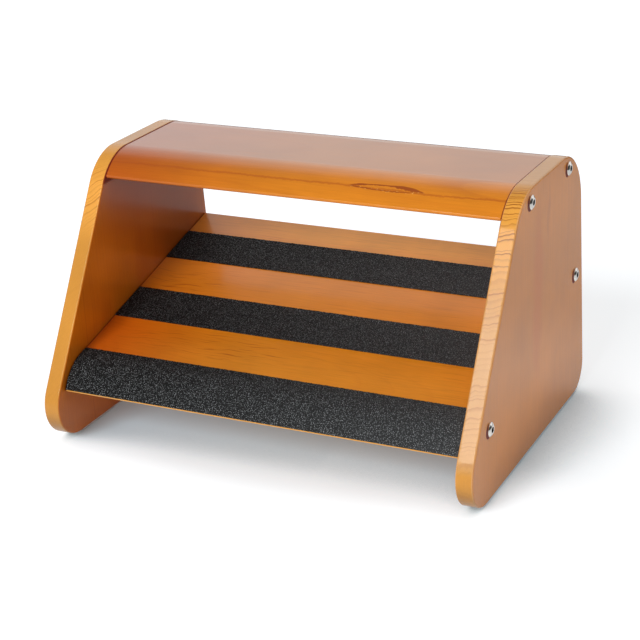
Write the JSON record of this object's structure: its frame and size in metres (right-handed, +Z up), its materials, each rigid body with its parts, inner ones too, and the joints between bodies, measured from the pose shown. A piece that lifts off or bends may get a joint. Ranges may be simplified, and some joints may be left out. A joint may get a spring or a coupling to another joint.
{
  "type": "footrest",
  "caption": "Wooden under-desk footrest: side panels carry a level top board and a sloping foot board with black grit strips, held by button-head bolts.",
  "frame": {"origin": "on the floor, under the middle of the footrest's outer box", "axes": "+Z up; +Y to the rear, so the low front edge of the foot board faces -Y; +X to the right as seen from the front"},
  "size_m": [0.4352, 0.3104, 0.255],
  "materials": {
    "panel_wood": "semi-gloss amber lacquer",
    "board_wood": "semi-gloss amber lacquer",
    "grit_tape": "coarse mineral grit on film",
    "bolt_plating": "bright nickel plate",
    "nut_steel": "zinc plate",
    "rubber_strip": "matt"
  },
  "bodies": {
    "root": {"left_side_panel": "panel_wood", "right_side_panel": "panel_wood", "top_board": "board_wood", "foot_board": "board_wood", "grip_strip_front": "grit_tape", "grip_strip_middle": "grit_tape", "grip_strip_rear": "grit_tape", "anti_slip_strip_left": "rubber_strip", "anti_slip_strip_right": "rubber_strip", "bolt_left_top_front": "bolt_plating", "bolt_left_top_rear": "bolt_plating", "bolt_left_foot_front": "bolt_plating", "bolt_left_foot_rear": "bolt_plating", "bolt_right_top_front": "bolt_plating", "bolt_right_top_rear": "bolt_plating", "bolt_right_foot_front": "bolt_plating", "bolt_right_foot_rear": "bolt_plating", "barrel_nut_left_top_front": "nut_steel", "barrel_nut_left_top_rear": "nut_steel", "barrel_nut_left_foot_front": "nut_steel", "barrel_nut_left_foot_rear": "nut_steel", "barrel_nut_right_top_front": "nut_steel", "barrel_nut_right_top_rear": "nut_steel", "barrel_nut_right_foot_front": "nut_steel", "barrel_nut_right_foot_rear": "nut_steel"}
  },
  "joints": []
}
